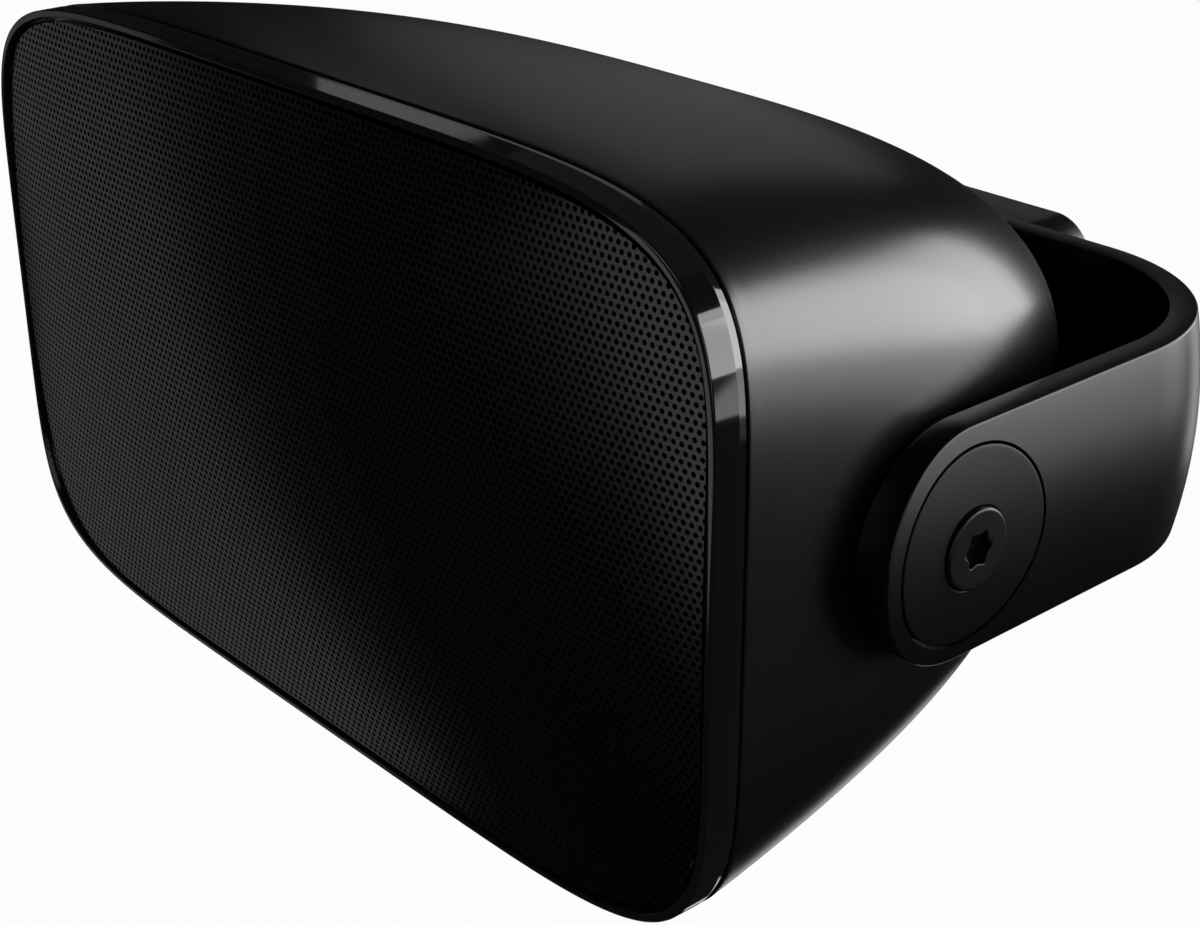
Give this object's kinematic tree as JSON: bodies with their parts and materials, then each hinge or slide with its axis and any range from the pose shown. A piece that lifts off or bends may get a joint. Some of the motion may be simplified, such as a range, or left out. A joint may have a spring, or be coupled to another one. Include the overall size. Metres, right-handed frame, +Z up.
{
  "type": "wall loudspeaker",
  "caption": "Egg-ended outdoor loudspeaker with a crowned perforated grille, held in a strap bracket that screws to a wall and lets the cabinet tilt.",
  "frame": {"origin": "middle of the wall pad, on the plane of the wall", "axes": "+Z up, -Y out of the wall towards the listener, X along the width of the loudspeaker"},
  "size_m": [0.2884, 0.1935, 0.1624],
  "materials": {
    "bracket_paint": "satin",
    "screw_black": "satin",
    "rubber": "matte",
    "brass": "satin",
    "cabinet_plastic": "satin",
    "gloss_black": "gloss",
    "grille_paint": "satin",
    "cloth": "matte",
    "inner_plastic": "matte",
    "foam": "matte",
    "basket_metal": "satin",
    "plate_steel": "satin",
    "ferrite": "matte",
    "copper_wire": "satin",
    "cone_fibre": "satin",
    "spider_fabric": "matte",
    "dome_metal": "satin",
    "board_green": "satin",
    "capacitor_film": "gloss",
    "ceramic": "matte",
    "screw_zinc": "satin"
  },
  "bodies": {
    "bracket": {"bracket_strap": "bracket_paint", "clamp_disc_left": "bracket_paint", "clamp_disc_right": "bracket_paint"},
    "cabinet": {"pivot_screw_left": "screw_black", "pivot_screw_right": "screw_black", "friction_washer_left": "rubber", "friction_washer_right": "rubber", "pivot_insert_left": "brass", "pivot_insert_right": "brass", "cabinet_shell": "cabinet_plastic", "bezel_frame": "gloss_black", "grille": "grille_paint", "grille_cloth": "cloth", "front_baffle": "inner_plastic", "baffle_gasket": "foam", "baffle_screws": "screw_black", "woofer_basket": "basket_metal", "woofer_gasket": "foam", "woofer_top_plate": "plate_steel", "woofer_magnet": "ferrite", "woofer_back_plate": "plate_steel", "woofer_screws": "screw_black", "tweeter_faceplate": "inner_plastic", "tweeter_top_plate": "plate_steel", "tweeter_magnet": "ferrite", "tweeter_back_plate": "plate_steel", "tweeter_screws": "screw_black", "crossover_board": "board_green", "crossover_inductor": "copper_wire", "crossover_capacitors": "capacitor_film", "crossover_resistor": "ceramic", "crossover_screws": "screw_zinc", "terminal_cup": "inner_plastic", "terminal_posts": "brass", "terminal_cover": "rubber"},
    "woofer_moving": {"woofer_voice_coil": "copper_wire", "woofer_cone": "cone_fibre", "woofer_dust_cap": "inner_plastic", "woofer_spider": "spider_fabric", "woofer_surround": "rubber"},
    "tweeter_moving": {"tweeter_dome": "dome_metal", "tweeter_voice_coil": "copper_wire", "tweeter_surround": "cloth"}
  },
  "joints": [
    {"name": "cabinet_tilt", "type": "hinge", "parent": "bracket", "child": "cabinet", "pos_m": [0, -0.12, 0], "axis": [1, 0, 0], "range_deg": [-60, 60]},
    {"name": "woofer_travel", "type": "slide", "parent": "cabinet", "child": "woofer_moving", "axis": [0, 1, 0], "range_m": [-0.0035, 0.0035], "stiffness_N_per_m": 1250, "deforming": ["woofer_surround", "woofer_spider"]},
    {"name": "tweeter_travel", "type": "slide", "parent": "cabinet", "child": "tweeter_moving", "axis": [0, 1, 0], "range_m": [-0.0004, 0.0004], "stiffness_N_per_m": 1000, "deforming": ["tweeter_surround"]}
  ]
}
